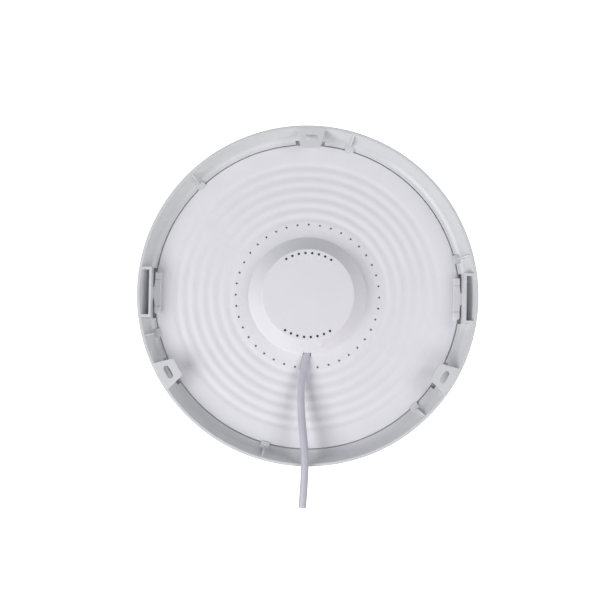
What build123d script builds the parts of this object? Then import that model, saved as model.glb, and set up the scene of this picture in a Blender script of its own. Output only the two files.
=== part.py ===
from build123d import *
import os
from math import cos, degrees, hypot, pi, radians, sin, sqrt, tan

# A round ceiling light. A moulded ring is screwed to the ceiling, and a lamp snaps up into it.
# Sizes are millimetres. The ceiling is z = 0, +Z points up into it, and a lug stands at +Y.

# The lamp's back cover, seen from behind
cover_r = 134.5
cover_wall = 1.6
cover_depth = 15.0
cover_edge_round = 1.0
dome_top_r = 40.4
dome_slope_run = 11.6
dome_top_depth = 0.8
dome_round = 1.6
vent_land = 12.7
edge_land = 14.4
groove_count = 6
groove_depth = 0.6
vent_count = 40
vent_d = 1.7
vent_inset = 1.2
dome_vent_r = 37.0
dome_vent_d = 2.2
dome_vents_each_side = 8
dome_vent_pitch = 9.2
skirt_drop = 4.0
rim_reach = 6.2

# The mounting ring
seam_gap = 0.7
flange_width = 7.1
flange_wall = 2.2
flange_drop = 0.6
cove_sag = 0.65
wall_lean = 5.1
wall_foot_depth = 11.5
foot_extra = 1.0
lip_width = 2.6
lip_height = 2.0
lip_round = 0.5
lug_rise = 0.2
lug_count = 3
lug_overlap = 4.5
lug_outer_width = 28.0
lug_inner_width = 16.4
lug_thick = 3.0
lug_round = 1.0
lug_notch_width = 25.6
lug_notch_reach = 3.3
slot_inset = 10.4
slot_length = 12.0
slot_width = 4.9
rib_count = 6
rib_thick = 1.5
rib_from_lug = 15.0
rib_lip_drop = 0.4
rib_knee_reach = 5.4
rib_knee_drop = 3.4
rib_toe_inset = 2.4
rib_toe_height = 1.6
nose_width = 8.0
nose_overlap = 1.2
nose_foot = 4.6
nose_stem_reach = 3.4
nose_thick = 0.9
nose_gap = 0.3

# The snap latches and the pockets they reach into
pocket_length = 39.3
pocket_end_wall = 2.6
pocket_inner_wall = 3.4
pocket_lean = 1.3
pocket_lean_height = 11.8
latch_gap = 1.5
latch_engage = 1.6
latch_clear = 0.2
bar_width = 5.3
bar_length = 23.2
bar_height = 3.6
bar_overhang = 0.2
tongue_width = 10.4
tongue_thick = 2.3
tongue_lift = 1.4
tongue_ramp = 1.1
tongue_root_gap = 0.7
window_clear = 0.5
pad_length = 6.4
pad_proud = 0.4
pad_overhang = 1.1
relief_width = 0.9
relief_depth = 0.3
relief_length = 31.0

# The diffuser
total_depth = 48.5
diffuser_wall = 2.0
diffuser_edge_round = 13.0
diffuser_crown = 3.5
diffuser_clear = 0.3
rim_lap = 5.0
rim_screw_inset = 3.5
rim_screw_count = 6
rim_boss_r = 2.9
rim_boss_height = 11.0

# Self-tapping screws, all alike but for their lengths
screw_r = 1.4
screw_clear = 0.05
screw_hole_clear = 0.3
screw_head_r = 2.5
screw_head_height = 0.9
screw_cross_width = 0.7
screw_cross_depth = 0.5
screw_cross_length = 3.0
screw_tip_clear = 0.6

# The board of light sources
led_board_wall = 1.5
led_board_drop = 4.5
led_board_gap = 2.0
led_board_margin = 7.0
led_boss_r = 4.0
led_screw_count = 6
led_screw_inset = 5.0
led_inner_count = 14
led_outer_count = 20
led_inner_inset = 18.0
led_outer_inset = 17.0
led_length = 3.5
led_width = 2.8
led_height = 0.7
lens_r = 5.5
lens_height = 5.0
lens_hollow_r = 2.7
lens_hollow_height = 1.4
led_plug_length = 7.0
led_plug_width = 8.0
led_plug_height = 4.0
led_plug_inset = 2.5
led_plug_chamfer = 0.5
lead_d = 1.5
lead_pitch = 3.0
lead_offset = 9.0
lead_drop = 3.4
lead_start_inset = 6.0

# The driver board in the raised middle, and the dish over it
board_length = 100.0
board_width = 58.0
board_wall = 1.6
board_drop = 3.0
board_hole_inset = 3.5
board_boss_r = 2.8
dish_wall = 1.5
dish_clear = 2.7
dish_drop = 9.5
dish_screw_reach = 7.0
dish_boss_r = 2.6
dish_notch_width = 10.0
dish_notch_reach = 3.0
dish_gap = 0.3

# What the driver board carries: places on the board are (x, y) from its middle, or from the middle of its
# left end for the varistor, the film capacitor and the bridge, and sizes are along x, y and up
terminal_place = (4.0, -17.5)
terminal_size = (17.0, 11.0, 9.0)
terminal_hole_d = 2.8
terminal_pitch = 6.0
terminal_hole_depth = 5.0
terminal_hole_height = 2.7
fuse_place = (-20.0, -20.0)
fuse_d = 4.6
fuse_length = 11.0
fuse_round = 0.8
varistor_place = (17.0, -17.0)
varistor_d = 10.0
varistor_thick = 4.2
varistor_round = 1.0
film_place = (18.0, -4.0)
film_size = (13.0, 6.0, 11.0)
film_round = 0.8
choke_place = (-20.0, 6.0)
choke_flange_r = 4.6
choke_core_r = 3.6
choke_height = 10.0
choke_flange_height = 1.4
bridge_place = (15.0, 9.0)
bridge_size = (8.0, 6.5, 2.6)
package_chamfer = 0.3
input_can_place = (-14.0, 20.0)
input_can_r = 5.0
input_can_height = 12.5
output_can_place = (28.0, 12.0)
output_can_r = 4.0
output_can_height = 11.5
can_groove_height = 2.2
can_groove_depth = 0.4
can_groove_width = 1.6
chip_place = (-7.0, 3.0)
chip_size = (5.0, 4.0, 1.6)
core_place = (10.0, 5.0)
core_size = (17.0, 5.0, 13.0)
core_frame = 3.2
core_post = 4.0
winding_side = 3.1
winding_gap = 0.2
winding_round = 1.5
diode_place = (26.0, -6.0)
diode_size = (5.0, 3.8, 2.4)

# The mains lead: a clamped tail inside, and the free stretch over the ring to its cut end.
# It leaves along its first run, rises to rest on the ring's lip, and droops past it.
cord_d = 6.8
cord_points = [
    (0.7, -49.7, -16.9),
    (-2.4, -64.0, -12.5),
    (-5.0, -80.0, -8.6),
    (-4.6, -97.0, -5.0),
    (-3.4, -113.0, -1.9),
    (-1.6, -128.0, 1.3),
    (-0.6, -142.0, 3.9),
    (-0.6, -156.0, 3.9),
    (-1.2, -171.0, 2.3),
    (-2.0, -185.5, -0.3),
]
arc_share = 0.45
cord_slot_clear = 0.15
cord_slot_inside = 6.0
cord_slot_outside = 22.0
tail_length = 14.0
core_d = 2.2
core_pitch = 3.0
core_straight = 2.5
core_last_run = 6.0
clamp_back = 8.0
clamp_length = 7.0
clamp_floor = 1.6
clamp_screw_reach = 8.6
clamp_boss_r = 3.0
clamp_end = 3.8
clamp_clear = 0.1
clamp_bite = 0.5

# Levels and radii worked out from the sizes above
cover_top = -cover_depth
cover_under = cover_top - cover_wall
dome_top = -dome_top_depth
dome_base_r = dome_top_r + dome_slope_run
dome_slope = dome_slope_run / (cover_depth - dome_top_depth)
dome_side_wall = cover_wall * sqrt(1 + dome_slope**2)
ripple_start_r = dome_base_r + vent_land
ripple_end_r = cover_r - edge_land
groove_pitch = (ripple_end_r - ripple_start_r) / groove_count
vent_r = ripple_start_r - vent_inset
skirt_inner_r = cover_r - cover_wall
rim_top = cover_top - skirt_drop
rim_under = rim_top - cover_wall
rim_r = cover_r + rim_reach

flange_top = cover_top - flange_drop
flange_under = flange_top - flange_wall
opening_r = cover_r + seam_gap
foot_r = opening_r + flange_width
lip_inner_r = foot_r + wall_lean
ring_r = lip_inner_r + lip_width
lip_top = -lug_rise
foot_outer_r = ring_r - wall_lean
foot_top = -wall_foot_depth
foot_under = foot_top - foot_extra
lug_inner_r = cover_r - lug_overlap
slot_r = ring_r - slot_inset

box_inner_x = cover_r + latch_gap
pocket_inner_x = box_inner_x + pocket_inner_wall
pocket_outer_x = sqrt(lip_inner_r**2 - (pocket_length / 2) ** 2)
box_width = pocket_length + 2 * pocket_end_wall
bar_outer_x = cover_r + bar_overhang
bar_inner_x = bar_outer_x - bar_width
bar_mid_x = bar_outer_x - bar_width / 2
bar_bottom = cover_top + latch_clear
tongue_bottom = cover_top + tongue_lift
tongue_tip_x = box_inner_x + latch_engage
tongue_root_x = box_inner_x - tongue_root_gap
pad_inner_y = bar_length / 2 + latch_clear
window_width = tongue_width + 2 * window_clear
window_bottom = tongue_bottom - window_clear
window_height = tongue_thick + 2 * window_clear

diffuser_inner_r = rim_r + diffuser_clear
diffuser_r = diffuser_inner_r + diffuser_wall
diffuser_top = rim_under + rim_lap
diffuser_bottom = -total_depth
rim_screw_r = rim_r - rim_screw_inset

board_top = cover_top - board_drop
board_under = board_top - board_wall
board_left = -board_length / 2
dish_r = hypot(board_length / 2, board_width / 2) + dish_clear + dish_wall
dish_top = board_under - dish_drop + dish_wall
dish_under = dish_top - dish_wall
dish_screw_x = board_length / 2 + dish_screw_reach
ripple_under = cover_under - groove_depth
led_board_top = cover_top - led_board_drop
led_board_under = led_board_top - led_board_wall
led_board_inner_r = dish_r + led_board_gap
led_board_r = skirt_inner_r - led_board_margin
led_inner_r = led_board_inner_r + led_inner_inset
led_outer_r = led_board_r - led_outer_inset
led_screw_r = led_board_r - led_screw_inset
led_plug_x = led_board_inner_r + led_plug_inset

screw_pilot_r = screw_r + screw_clear
screw_free_r = screw_r + screw_hole_clear
from_below = (Align.CENTER, Align.CENTER, Align.MIN)
from_above = (Align.CENTER, Align.CENTER, Align.MAX)

# The lead's first run sets the slope of its tail, its slot and its clamp
cord_exit = Vector(*cord_points[0])
cord_heading = (Vector(*cord_points[1]) - cord_exit).normalized()
cord_across = Vector(-cord_heading.Y, cord_heading.X, 0).normalized()
tail_end = cord_exit - cord_heading * tail_length
clamp_at = cord_exit - cord_heading * clamp_back
clamp_seat = clamp_at.Z - clamp_bite
clamp_under = clamp_at.Z - cord_d / 2 - clamp_floor
clamp_half = clamp_screw_reach + clamp_end

os.makedirs("parts", exist_ok=True)


def keep(solid, label):
    """Name a finished piece and write it to its own file."""
    solid.label = label
    export_step(solid, f"parts/{label}.step")


def bend_radii(points):
    """The arc at each inner point of a route, as large as its two runs allow."""
    places = [Vector(*p) for p in points]
    radii = []
    for before, here, after in zip(places, places[1:], places[2:]):
        run_in = here - before
        run_out = after - here
        turn = radians(run_in.get_angle(run_out))
        radii.append(arc_share * min(run_in.length, run_out.length) / tan(turn / 2))
    return radii


def make_wires(label, routes, diameter):
    """One node of round wires, each swept along straight runs joined by tangent arcs."""
    total_length = 0
    with BuildPart() as wires:
        for points in routes:
            radii = bend_radii(points)
            with BuildLine() as path:
                FilletPolyline(*points, radius=radii)
            with BuildSketch(Plane(origin=path.line @ 0, z_dir=path.line % 0)):
                Circle(diameter / 2)
            sweep(path=path.line)
            total_length += sum(edge.length for edge in path.line.edges())
            print(label, "bend radii", [round(r, 1) for r in radii])
    swept_volume = total_length * pi * diameter**2 / 4
    print(label, f"length {total_length:.1f}, volume {wires.part.volume:.1f} for {swept_volume:.1f}")
    keep(wires.part, label)


def make_screws(label, seats, shank_length, head_up=False):
    """One node of like screws. A seat is the point under the head, and the shank goes up unless head_up."""
    with BuildPart() as one_screw:
        Cylinder(screw_r, shank_length, align=from_below)
        Cylinder(screw_head_r, screw_head_height, align=from_above)
        with Locations((0, 0, -screw_head_height)):
            for turn in (0, 90):
                Box(screw_cross_length, screw_cross_width, screw_cross_depth, rotation=(0, 0, turn),
                    align=from_below, mode=Mode.SUBTRACT)
    flip = 180 if head_up else 0
    with BuildPart() as screws:
        with Locations(*[Location(seat, (flip, 0, 0)) for seat in seats]):
            add(one_screw.part)
    keep(screws.part, label)


def polar_places(radius, count, first_angle, z):
    """Points spread evenly on a circle at one level."""
    angles = [radians(first_angle + 360 * i / count) for i in range(count)]
    return [(radius * cos(a), radius * sin(a), z) for a in angles]


def draw_ripples(level):
    """The cover's ripples from the middle outwards: arcs that meet halfway between crest and trough."""
    half_depth = groove_depth / 2
    quarter = groove_pitch / 4
    TangentArc((ripple_start_r, level), (ripple_start_r + quarter, level - half_depth), tangent=(1, 0))
    for i in range(2 * groove_count - 1):
        r = ripple_start_r + (i + 1) * groove_pitch / 2
        z = level - (0 if i % 2 else groove_depth)
        ThreePointArc((r - quarter, level - half_depth), (r, z), (r + quarter, level - half_depth))
    TangentArc((ripple_end_r, level), (ripple_end_r - quarter, level - half_depth), tangent=(-1, 0))


# Mounting ring, outer shape: the leaning wall and the rounded underside, filled to the axis
with BuildPart() as ring_envelope:
    with BuildSketch(Plane.XZ):
        with BuildLine():
            Polyline((0, flange_under), (0, lip_top), (ring_r, lip_top), (ring_r, lip_top - lip_height),
                     (foot_outer_r, foot_under))
            under_mid = Vector((foot_outer_r + opening_r) / 2, (foot_under + flange_under) / 2)
            under_bulge = Vector(foot_under - flange_under, opening_r - foot_outer_r).normalized() * cove_sag
            ThreePointArc((foot_outer_r, foot_under), under_mid + under_bulge, (opening_r, flange_under))
            Line((opening_r, flange_under), (0, flange_under))
        outline = make_face()
        fillet(outline.vertices().group_by(Axis.Y)[-1].sort_by(Axis.X)[-1], lip_round)
    revolve(axis=Axis.Z)

# Mounting ring, the hollow inside its wall and above its flange, with the hollow cove
with BuildPart() as ring_hollow:
    with BuildSketch(Plane.XZ):
        with BuildLine():
            Polyline((0, flange_top), (0, 0), (lip_inner_r, 0), (lip_inner_r, lip_top), (foot_r, foot_top))
            cove_mid = Vector((foot_r + opening_r) / 2, (foot_top + flange_top) / 2)
            cove_bulge = Vector(foot_top - flange_top, opening_r - foot_r).normalized() * cove_sag
            ThreePointArc((foot_r, foot_top), cove_mid + cove_bulge, (opening_r, flange_top))
            Line((opening_r, flange_top), (0, flange_top))
        make_face()
    revolve(axis=Axis.Z)

# Mounting ring, the two blocks that hold the pockets, leaning back to the lip and cut to the ring's outer shape
with BuildPart() as pocket_blocks:
    for side in (-1, 1):
        with BuildSketch(Plane.XZ):
            with BuildLine():
                Polyline(
                    (side * ring_r, flange_under),
                    (side * box_inner_x, flange_under),
                    (side * box_inner_x, lip_top - pocket_lean_height),
                    (side * (box_inner_x + pocket_lean), lip_top),
                    (side * ring_r, lip_top),
                    close=True,
                )
            make_face()
        extrude(amount=box_width / 2, both=True)
    add(ring_envelope.part, mode=Mode.INTERSECT)

# Mounting ring, the pockets: straight inner wall and ends, and the ring's own leaning wall outside
with BuildPart() as pockets:
    for side in (-1, 1):
        pocket_width = pocket_outer_x - pocket_inner_x
        with Locations((side * (pocket_inner_x + pocket_width / 2), 0, 0)):
            Box(pocket_width, pocket_length, -flange_top, align=from_above)
    add(ring_hollow.part, mode=Mode.INTERSECT)

# Mounting ring, a gusset rib: from the lip over a knee down to the flange's edge
with BuildPart() as one_rib:
    toe_r = opening_r + rib_toe_inset
    back_r = lip_inner_r + lip_width / 2
    with BuildSketch(Plane.XZ):
        with BuildLine():
            Polyline(
                (toe_r, flange_under),
                (toe_r, flange_top + rib_toe_height),
                (lip_inner_r - rib_knee_reach, lip_top - rib_knee_drop),
                (lip_inner_r, lip_top - rib_lip_drop),
                (back_r, lip_top - rib_lip_drop),
                (back_r, flange_under),
                close=True,
            )
        make_face()
    extrude(amount=rib_thick / 2, both=True)
    add(ring_envelope.part, mode=Mode.INTERSECT)

# Mounting ring, a lug: a tapered plate cut off round at the lip
with BuildPart() as one_lug:
    with BuildSketch(Plane.XY):
        with BuildLine():
            Polyline(
                (lug_inner_r, -lug_inner_width / 2),
                (ring_r, -lug_outer_width / 2),
                (ring_r, lug_outer_width / 2),
                (lug_inner_r, lug_inner_width / 2),
                close=True,
            )
        plate = make_face()
        fillet(plate.vertices().group_by(Axis.X)[0], lug_round)
    extrude(amount=-lug_thick)
    Cylinder(lip_inner_r + lip_round, lug_thick, align=from_above, mode=Mode.INTERSECT)
    with BuildSketch(Plane.XY):
        half_turn = degrees((slot_length - slot_width) / 2 / slot_r)
        SlotArc(CenterArc((0, 0), slot_r, -half_turn, 2 * half_turn, mode=Mode.PRIVATE), slot_width)
    extrude(amount=-lug_thick, mode=Mode.SUBTRACT)

# Mounting ring, all of it
with BuildPart() as mounting_ring:
    add(ring_envelope.part)
    add(ring_hollow.part, mode=Mode.SUBTRACT)
    with Locations((0, 0, flange_top)):
        Cylinder(opening_r, 2 * flange_wall, align=from_above, mode=Mode.SUBTRACT)
    add(pocket_blocks.part)
    add(pockets.part, mode=Mode.SUBTRACT)
    with PolarLocations(0, rib_count, start_angle=90 - rib_from_lug):
        add(one_rib.part)
    for side in (-1, 1):
        face_cut = box_inner_x - lug_inner_r
        with Locations((side * (box_inner_x - face_cut / 2), 0, flange_under)):
            Box(face_cut, box_width, -flange_under, align=from_below, mode=Mode.SUBTRACT)
        window_reach = pocket_inner_x - box_inner_x + window_clear
        with Locations((side * (box_inner_x + window_reach / 2), 0, window_bottom)):
            Box(window_reach, window_width, window_height, align=from_below, mode=Mode.SUBTRACT)
    with PolarLocations(opening_r, lug_count, start_angle=90):
        with Locations((0, 0, flange_under)):
            Box(2 * lug_notch_reach, lug_notch_width, 2 * flange_wall, align=from_below, mode=Mode.SUBTRACT)
    with PolarLocations(0, lug_count, start_angle=90):
        add(one_lug.part)
    nose_bottom = cover_top + nose_gap
    nose_inner_r = cover_r - nose_overlap
    with PolarLocations(0, rib_count, start_angle=90 - rib_from_lug):
        nose_reach = opening_r + nose_foot - nose_inner_r
        with Locations((nose_inner_r + nose_reach / 2, 0, nose_bottom)):
            Box(nose_reach, nose_width, nose_thick, align=from_below)
        stem_bottom = flange_top - flange_wall / 4
        with Locations((opening_r + nose_stem_reach / 2, 0, stem_bottom)):
            Box(nose_stem_reach, nose_width, nose_bottom + nose_thick / 2 - stem_bottom, align=from_below)
keep(mounting_ring.part, "mounting_ring")

# Back cover, outer shape: raised middle, ripples, edge and rim, filled down to the rim's underside
with BuildPart() as cover_outer:
    with BuildSketch(Plane.XZ) as cover_profile:
        with BuildLine():
            Polyline((0, rim_under), (0, dome_top), (dome_top_r, dome_top), (dome_base_r, cover_top),
                     (ripple_start_r, cover_top))
            draw_ripples(cover_top)
            Polyline((ripple_end_r, cover_top), (cover_r, cover_top), (cover_r, rim_top),
                     (rim_r, rim_top), (rim_r, rim_under), (0, rim_under))
        make_face()
        fillet(cover_profile.vertices().sort_by_distance((dome_top_r, dome_top))[0], dome_round)
        fillet(cover_profile.vertices().sort_by_distance((dome_base_r, cover_top))[0], dome_round)
        fillet(cover_profile.vertices().sort_by_distance((cover_r, cover_top))[0], cover_edge_round)
    revolve(axis=Axis.Z)

# Back cover, the space inside it
with BuildPart() as cover_inside:
    inner_top_r = dome_top_r + cover_wall * dome_slope - dome_side_wall
    inner_base_r = dome_base_r + cover_wall * dome_slope - dome_side_wall
    with BuildSketch(Plane.XZ):
        with BuildLine():
            Polyline((0, rim_under), (0, dome_top - cover_wall), (inner_top_r, dome_top - cover_wall),
                     (inner_base_r, cover_under), (ripple_start_r, cover_under))
            draw_ripples(cover_under)
            Polyline((ripple_end_r, cover_under), (skirt_inner_r, cover_under), (skirt_inner_r, rim_under),
                     (0, rim_under))
        make_face()
    revolve(axis=Axis.Z)

# Back cover, the bosses that its boards, dish and clamp are screwed to, cut off inside its outer shape
board_holes = [
    (sx * (board_length / 2 - board_hole_inset), sy * (board_width / 2 - board_hole_inset))
    for sx in (-1, 1)
    for sy in (-1, 1)
]
led_holes = [(x, y) for x, y, z in polar_places(led_screw_r, led_screw_count, 180 / led_screw_count, 0)]
dish_holes = [(-dish_screw_x, 0), (dish_screw_x, 0)]
clamp_holes = [(clamp_at.X - clamp_screw_reach, clamp_at.Y), (clamp_at.X + clamp_screw_reach, clamp_at.Y)]
boss_sets = [
    (board_holes, board_boss_r, board_top),
    (led_holes, led_boss_r, led_board_top),
    (dish_holes, dish_boss_r, dish_top),
    (clamp_holes, clamp_boss_r, clamp_seat),
]
with BuildPart() as boss_room:
    add(cover_outer.part)
    with Locations((0, 0, rim_under)):
        Cylinder(skirt_inner_r, total_depth, align=from_above)
with BuildPart() as cover_bosses:
    for holes, radius, bottom in boss_sets:
        with Locations(*[(x, y, bottom) for x, y in holes]):
            Cylinder(radius, -bottom, align=from_below)
    add(boss_room.part, mode=Mode.INTERSECT)

# Back cover, the pads that the latches spring between, cut off round just past the cover's edge
with BuildPart() as latch_pads:
    pad_height = latch_clear + bar_height + pad_proud
    pad_y = pad_inner_y + pad_length / 2
    with Locations(*[(side * bar_mid_x, end * pad_y, cover_top) for side in (-1, 1) for end in (-1, 1)]):
        Box(bar_width, pad_length, pad_height, align=from_below)
    with Locations((0, 0, cover_top)):
        Cylinder(cover_r + pad_overhang, pad_height, align=from_below, mode=Mode.INTERSECT)

# Back cover, all of it
with BuildPart() as back_cover:
    add(cover_outer.part)
    add(cover_inside.part, mode=Mode.SUBTRACT)
    add(cover_bosses.part)
    for holes, radius, bottom in boss_sets:
        with Locations(*[(x, y, bottom) for x, y in holes]):
            Cylinder(screw_pilot_r, cover_under - bottom, align=from_below, mode=Mode.SUBTRACT)
    add(latch_pads.part)
    with Locations(*[(side * (bar_inner_x - relief_width), 0, cover_top) for side in (-1, 1)]):
        Box(relief_width, relief_length, relief_depth, align=from_above, mode=Mode.SUBTRACT)
    with Locations((0, 0, cover_top)):
        with PolarLocations(vent_r, vent_count, start_angle=90):
            Cylinder(vent_d / 2, 2 * cover_wall, mode=Mode.SUBTRACT)
    for middle in (90, -90):
        spread = dome_vent_pitch * (dome_vents_each_side - 1)
        first = middle - spread / 2
        with Locations((0, 0, dome_top)):
            with PolarLocations(dome_vent_r, dome_vents_each_side, first, spread, endpoint=True):
                Cylinder(dome_vent_d / 2, 2 * cover_wall, mode=Mode.SUBTRACT)
    with Locations(*polar_places(rim_screw_r, rim_screw_count, 180 / rim_screw_count, rim_top)):
        Cylinder(screw_free_r, 2 * cover_wall, align=from_above, mode=Mode.SUBTRACT)
    slot_start = cord_exit - cord_heading * cord_slot_inside
    with BuildSketch(Plane(origin=slot_start, x_dir=cord_across, z_dir=cord_heading)):
        Rectangle(cord_d + 2 * cord_slot_clear, cord_d + 2 * cord_slot_clear)
    extrude(amount=cord_slot_inside + cord_slot_outside, mode=Mode.SUBTRACT)
keep(back_cover.part, "back_cover")

# Snap latches: a bar that springs between two pads on the cover and widens to a tongue with a ramped tip
for name, side in (("latch_left", -1), ("latch_right", 1)):
    with BuildPart() as latch:
        with Locations((side * bar_mid_x, 0, bar_bottom)):
            Box(bar_width, bar_length, bar_height, align=from_below)
        half_outline = [
            (side * bar_mid_x, bar_length / 2),
            (side * bar_outer_x, bar_length / 2),
            (side * tongue_root_x, tongue_width / 2),
            (side * tongue_tip_x, tongue_width / 2),
        ]
        with BuildSketch(Plane.XY.offset(tongue_bottom)):
            with BuildLine():
                Polyline(*half_outline, *[(x, -y) for x, y in reversed(half_outline)], close=True)
            make_face()
        extrude(amount=tongue_thick)
        tip = latch.edges().filter_by(Axis.Y).group_by(Axis.X)[-1 if side > 0 else 0].sort_by(Axis.Z)[-1]
        chamfer(tip, tongue_ramp)
    keep(latch.part, name)

# Diffuser: an opal dish with a crowned front, and bosses inside its wall for the screws in the cover's rim
with BuildPart() as diffuser:
    for radius, low, mode in (
        (diffuser_r, diffuser_bottom, Mode.ADD),
        (diffuser_inner_r, diffuser_bottom + diffuser_wall, Mode.SUBTRACT),
    ):
        inset = diffuser_r - radius
        with BuildSketch(Plane.XZ):
            with BuildLine():
                Polyline((0, low), (0, diffuser_top), (radius, diffuser_top), (radius, low + diffuser_crown))
                TangentArc((0, low), (radius, low + diffuser_crown), tangent=(1, 0))
            dish_face = make_face()
            corner = dish_face.vertices().sort_by_distance((radius, low + diffuser_crown))[0]
            fillet(corner, diffuser_edge_round - inset)
        revolve(axis=Axis.Z, mode=mode)
    with PolarLocations(0, rim_screw_count, start_angle=180 / rim_screw_count):
        with Locations((rim_screw_r, 0, rim_under)):
            Cylinder(rim_boss_r, rim_boss_height, align=from_above)
        web_reach = diffuser_inner_r + diffuser_wall / 2 - rim_screw_r
        with Locations((rim_screw_r + web_reach / 2, 0, rim_under)):
            Box(web_reach, rim_boss_r, rim_boss_height, align=from_above)
        with Locations((rim_screw_r, 0, rim_under)):
            Cylinder(screw_pilot_r, rim_boss_height - diffuser_wall, align=from_above, mode=Mode.SUBTRACT)
keep(diffuser.part, "diffuser")

rim_screw_length = cover_wall + rim_boss_height - diffuser_wall - screw_tip_clear
rim_seats = polar_places(rim_screw_r, rim_screw_count, 180 / rim_screw_count, rim_top)
make_screws("diffuser_screws", rim_seats, rim_screw_length, head_up=True)

# Board of light sources: a flat aluminium ring with its sources and lenses on the front
with BuildPart() as led_board:
    with Locations((0, 0, led_board_under)):
        Cylinder(led_board_r, led_board_wall, align=from_below)
        Cylinder(led_board_inner_r, led_board_wall, align=from_below, mode=Mode.SUBTRACT)
    with Locations(*[(x, y, led_board_under) for x, y in led_holes]):
        Cylinder(screw_free_r, led_board_wall, align=from_below, mode=Mode.SUBTRACT)
keep(led_board.part, "led_board")

led_rings = [(led_inner_r, led_inner_count), (led_outer_r, led_outer_count)]
with BuildPart() as led_chips:
    for radius, count in led_rings:
        with Locations((0, 0, led_board_under)):
            with PolarLocations(radius, count, start_angle=90 / count):
                Box(led_length, led_width, led_height, align=from_above)
keep(led_chips.part, "led_chips")

with BuildPart() as one_lens:
    with BuildSketch(Plane.XZ):
        with BuildLine():
            Polyline((lens_hollow_r, 0), (lens_r, 0), (lens_r, -lens_height / 2))
            TangentArc((0, -lens_height), (lens_r, -lens_height / 2), tangent=(1, 0))
            Polyline((0, -lens_height), (0, -lens_hollow_height), (lens_hollow_r, -lens_hollow_height),
                     (lens_hollow_r, 0))
        make_face()
    revolve(axis=Axis.Z)
with BuildPart() as led_lenses:
    for radius, count in led_rings:
        with Locations(*polar_places(radius, count, 90 / count, led_board_under)):
            add(one_lens.part)
keep(led_lenses.part, "led_lenses")

led_seats = [(x, y, led_board_under) for x, y in led_holes]
make_screws("led_board_screws", led_seats, cover_under - led_board_under - screw_tip_clear)

with BuildPart() as led_connector:
    with Locations((led_plug_x + led_plug_length / 2, lead_offset, led_board_under)):
        Box(led_plug_length, led_plug_width, led_plug_height, align=from_above)
    chamfer(led_connector.edges().group_by(Axis.Z)[0], led_plug_chamfer)
keep(led_connector.part, "led_connector")

lead_start_x = board_length / 2 - lead_start_inset
lead_level = board_under - lead_drop
lead_routes = [
    [
        (lead_start_x, lead_offset + k * lead_pitch / 2, board_under),
        (lead_start_x, lead_offset + k * lead_pitch / 2, lead_level),
        (led_plug_x, lead_offset + k * lead_pitch / 2, lead_level),
    ]
    for k in (-1, 1)
]
make_wires("led_leads", lead_routes, lead_d)

# Driver board and the dish that covers it
with BuildPart() as driver_board:
    with Locations((0, 0, board_under)):
        Box(board_length, board_width, board_wall, align=from_below)
    with Locations(*[(x, y, board_under) for x, y in board_holes]):
        Cylinder(screw_free_r, board_wall, align=from_below, mode=Mode.SUBTRACT)
keep(driver_board.part, "driver_board")

board_seats = [(x, y, board_under) for x, y in board_holes]
make_screws("driver_board_screws", board_seats, cover_under - board_under - screw_tip_clear)

dish_rim_top = ripple_under - dish_gap
with BuildPart() as driver_cover:
    with Locations((0, 0, dish_under)):
        Cylinder(dish_r, dish_rim_top - dish_under, align=from_below)
    with Locations((0, 0, dish_top)):
        Cylinder(dish_r - dish_wall, dish_rim_top - dish_top, align=from_below, mode=Mode.SUBTRACT)
    with Locations((dish_r, lead_offset, lead_level - lead_d)):
        Box(2 * dish_notch_reach, dish_notch_width, dish_drop, align=from_below, mode=Mode.SUBTRACT)
    with Locations(*[(x, y, dish_under) for x, y in dish_holes]):
        Cylinder(screw_free_r, dish_wall, align=from_below, mode=Mode.SUBTRACT)
keep(driver_cover.part, "driver_cover")

dish_seats = [(x, y, dish_under) for x, y in dish_holes]
make_screws("driver_cover_screws", dish_seats, cover_under - dish_under - screw_tip_clear)


def on_board(place, lift=0.0, from_x=0.0):
    """A point on the driver board's upper side, its place counted from from_x."""
    return (from_x + place[0], place[1], board_top + lift)


# Input terminal, with a hole for each core in the side that faces the lead
with BuildPart() as input_terminal:
    with Locations(on_board(terminal_place)):
        Box(*terminal_size, align=from_below)
    hole_level = board_top + terminal_hole_height
    terminal_face_y = terminal_place[1] - terminal_size[1] / 2
    for k in (-1, 1):
        with BuildSketch(Plane.XZ.offset(-terminal_face_y)):
            with Locations((terminal_place[0] + k * terminal_pitch / 2, hole_level)):
                Circle(terminal_hole_d / 2)
        extrude(amount=-terminal_hole_depth, mode=Mode.SUBTRACT)
keep(input_terminal.part, "input_terminal")

with BuildPart() as fuse:
    with Locations(on_board(fuse_place, fuse_d / 2)):
        Cylinder(fuse_d / 2, fuse_length, rotation=(0, 90, 0))
    fillet(fuse.edges().filter_by(GeomType.CIRCLE), fuse_round)
keep(fuse.part, "fuse")

with BuildPart() as varistor:
    with Locations(on_board(varistor_place, varistor_d / 2, board_left)):
        Cylinder(varistor_d / 2, varistor_thick, rotation=(0, 90, 0))
    fillet(varistor.edges().filter_by(GeomType.CIRCLE), varistor_round)
keep(varistor.part, "varistor")

with BuildPart() as film_capacitor:
    with Locations(on_board(film_place, from_x=board_left)):
        Box(*film_size, align=from_below)
    fillet(film_capacitor.edges().filter_by(Axis.Z), film_round)
keep(film_capacitor.part, "film_capacitor")

with BuildPart() as choke:
    with Locations(on_board(choke_place)):
        Cylinder(choke_flange_r, choke_flange_height, align=from_below)
        Cylinder(choke_core_r, choke_height, align=from_below)
    with Locations(on_board(choke_place, choke_height)):
        Cylinder(choke_flange_r, choke_flange_height, align=from_above)
keep(choke.part, "choke")

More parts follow.
